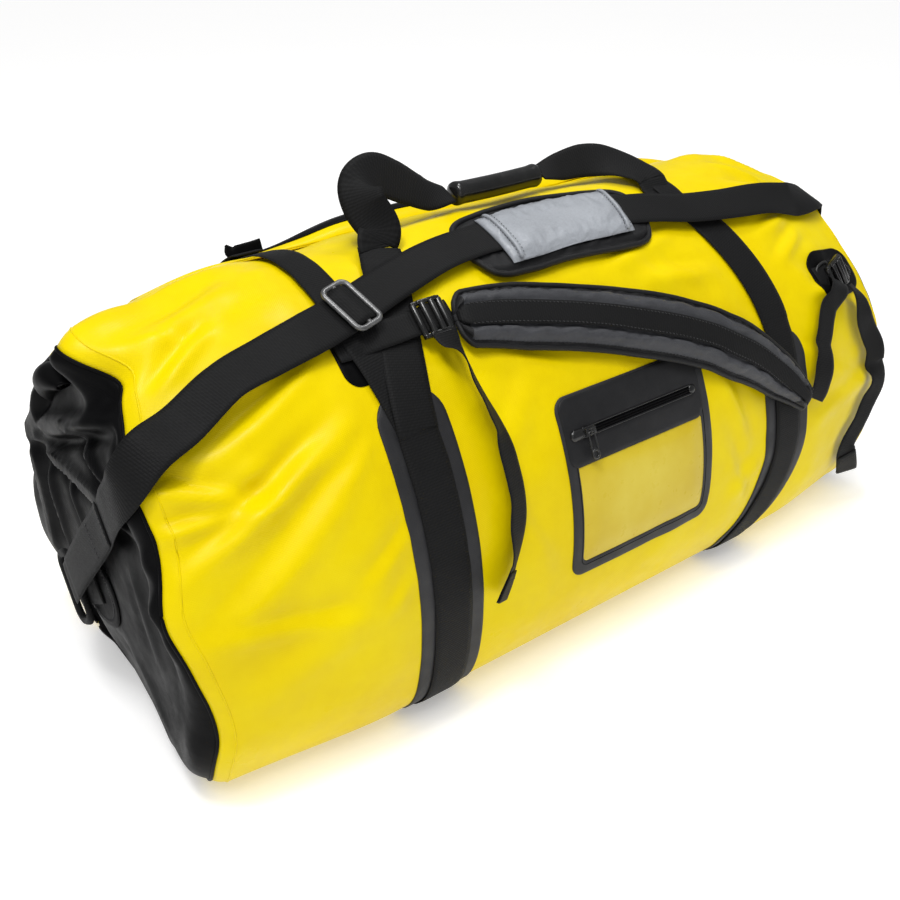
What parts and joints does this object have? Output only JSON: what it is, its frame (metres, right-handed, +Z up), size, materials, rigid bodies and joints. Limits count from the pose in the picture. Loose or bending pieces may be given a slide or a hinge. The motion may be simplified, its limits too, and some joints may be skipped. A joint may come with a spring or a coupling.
{
  "type": "duffel bag",
  "caption": "Roll-top waterproof duffel with black ends, zipped window pocket, swinging carry handles, shoulder strap and padded backpack straps.",
  "frame": {"origin": "Middle of the flat base, on the surface the bag stands on.", "axes": "+Z is up. +X runs along the bag's length, towards the end on the right when the pocket faces the viewer. -Y is the pocket side."},
  "size_m": [0.9238, 0.4658, 0.4614],
  "materials": {
    "yellow_pvc": "semi-gloss coated fabric",
    "black_pvc": "semi-gloss coated fabric",
    "grey_strip": "satin coated strip",
    "clear_window": "cloudy soft film",
    "zip_tape": "coated water-resistant zip",
    "zip_metal": "black enamel",
    "grip_rubber": "glossy moulded grip",
    "black_plastic": "satin nylon",
    "pad_fabric": "coated foam pad",
    "grey_cover": "satin quilted cover",
    "webbing": "ribbed nylon webbing"
  },
  "bodies": {
    "bag": {"back_panel": "yellow_pvc", "backpack_pad_back": "pad_fabric", "backpack_pad_front": "pad_fabric", "backpack_web_back_left": "webbing", "backpack_web_back_right": "webbing", "backpack_web_front_left": "webbing", "backpack_web_front_right": "webbing", "base_panel": "black_pvc", "compression_strap_back_left": "webbing", "compression_strap_back_right": "webbing", "compression_strap_front_left": "webbing", "compression_strap_front_right": "webbing", "end_panel_left": "black_pvc", "end_panel_right": "black_pvc", "end_patch_left": "black_pvc", "end_patch_right": "black_pvc", "end_ring_left": "black_plastic", "end_ring_right": "black_plastic", "end_tab_left": "webbing", "end_tab_right": "webbing", "front_panel": "yellow_pvc", "girth_strip_back_left": "grey_strip", "girth_strip_back_right": "grey_strip", "girth_strip_front_left": "grey_strip", "girth_strip_front_right": "grey_strip", "handle_webbing_back_left": "webbing", "handle_webbing_back_right": "webbing", "handle_webbing_front_left": "webbing", "handle_webbing_front_right": "webbing", "ladder_lock_back_left": "black_plastic", "ladder_lock_back_right": "black_plastic", "ladder_lock_front_left": "black_plastic", "ladder_lock_front_right": "black_plastic", "pocket_panel": "black_pvc", "pocket_window": "clear_window", "shoulder_pad": "pad_fabric", "shoulder_pad_cover": "grey_cover", "shoulder_strap_left": "webbing", "shoulder_strap_right": "webbing", "strap_patch_back_left": "black_pvc", "strap_patch_back_right": "black_pvc", "strap_patch_front_left": "black_pvc", "strap_patch_front_right": "black_pvc", "strap_tail_front_left": "webbing", "strap_tail_front_right": "webbing", "zip_tape": "zip_tape"},
    "closure": {"closure_strap_left": "webbing", "closure_strap_right": "webbing", "roll_closure": "yellow_pvc", "roll_stiffener": "grey_strip"},
    "front_handle": {"grip_front": "grip_rubber", "handle_front_left": "webbing", "handle_front_right": "webbing"},
    "back_handle": {"grip_back": "grip_rubber", "handle_back_left": "webbing", "handle_back_right": "webbing"},
    "zip_slider": {"zip_slider": "zip_metal"},
    "zip_pull": {"zip_pull": "zip_metal"},
    "strap_slider": {"tri_glide": "black_plastic"}
  },
  "joints": [
    {"name": "closure_hinge", "type": "hinge", "parent": "bag", "child": "closure", "pos_m": [0, 0.15844, 0.29677], "axis": [-1, 0, 0], "range_deg": [0, 95]},
    {"name": "front_handle_swing", "type": "hinge", "parent": "bag", "child": "front_handle", "pos_m": [0.015, -0.029, 0.396], "axis": [1, 0, 0], "range_deg": [-4, 45]},
    {"name": "back_handle_swing", "type": "hinge", "parent": "bag", "child": "back_handle", "pos_m": [0, 0.21499, 0.16905], "axis": [1, 0, 0], "range_deg": [0, 80]},
    {"name": "zip_slide", "type": "slide", "parent": "bag", "child": "zip_slider", "axis": [1, 0, 0], "range_m": [0, 0.125]},
    {"name": "zip_pull_swing", "type": "hinge", "parent": "zip_slider", "child": "zip_pull", "pos_m": [-0.045, -0.19262, 0.2448], "axis": [-1, 0, 0], "range_deg": [0, 80]},
    {"name": "strap_slider_slide", "type": "slide", "parent": "bag", "child": "strap_slider", "axis": [0.9642, 0.2289, 0.1338], "range_m": [-0.01, 0.01]}
  ]
}
